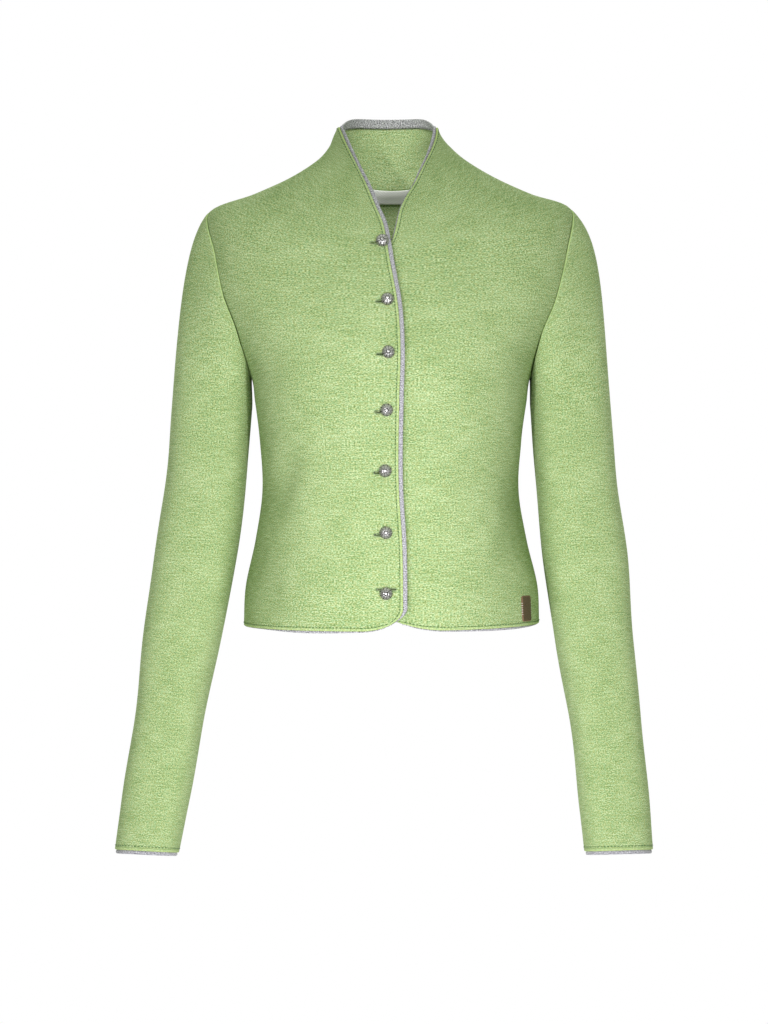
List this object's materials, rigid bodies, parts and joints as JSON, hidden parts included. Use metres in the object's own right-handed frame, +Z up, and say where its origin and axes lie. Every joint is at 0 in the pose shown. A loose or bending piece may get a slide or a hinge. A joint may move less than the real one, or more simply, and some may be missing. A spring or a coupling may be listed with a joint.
{
  "type": "knit cardigan",
  "caption": "Short fitted knit cardigan with stand collar, V neck, long set-in sleeves, domed metal buttons and contrast binding, filled out as if worn.",
  "frame": {"origin": "between the wearer's shoulders at the foot of the neck, where the wearer holds the garment up", "axes": "+Z up, the front faces -Y, +X to the wearer's left"},
  "size_m": [0.5323, 0.2266, 0.742],
  "materials": {
    "cloth": "fulled fine knit, green melange, matt with a short nap",
    "binding": "grey melange jersey, matt",
    "button": "antique silver, darkened in the relief",
    "label": "white woven tape, bare",
    "patch": "brown leather, smooth"
  },
  "bodies": {
    "root": {"front_right": "cloth", "front_left": "cloth", "back": "cloth", "collar": "cloth", "sleeve_right": "cloth", "sleeve_left": "cloth", "binding_front_right": "binding", "binding_front_left": "binding", "binding_collar": "binding", "binding_hem": "binding", "binding_cuff_right": "binding", "binding_cuff_left": "binding", "label_neck": "label", "patch_hem": "patch", "button_1": "button", "button_2": "button", "button_3": "button", "button_4": "button", "button_5": "button", "button_6": "button", "button_7": "button"}
  },
  "joints": []
}
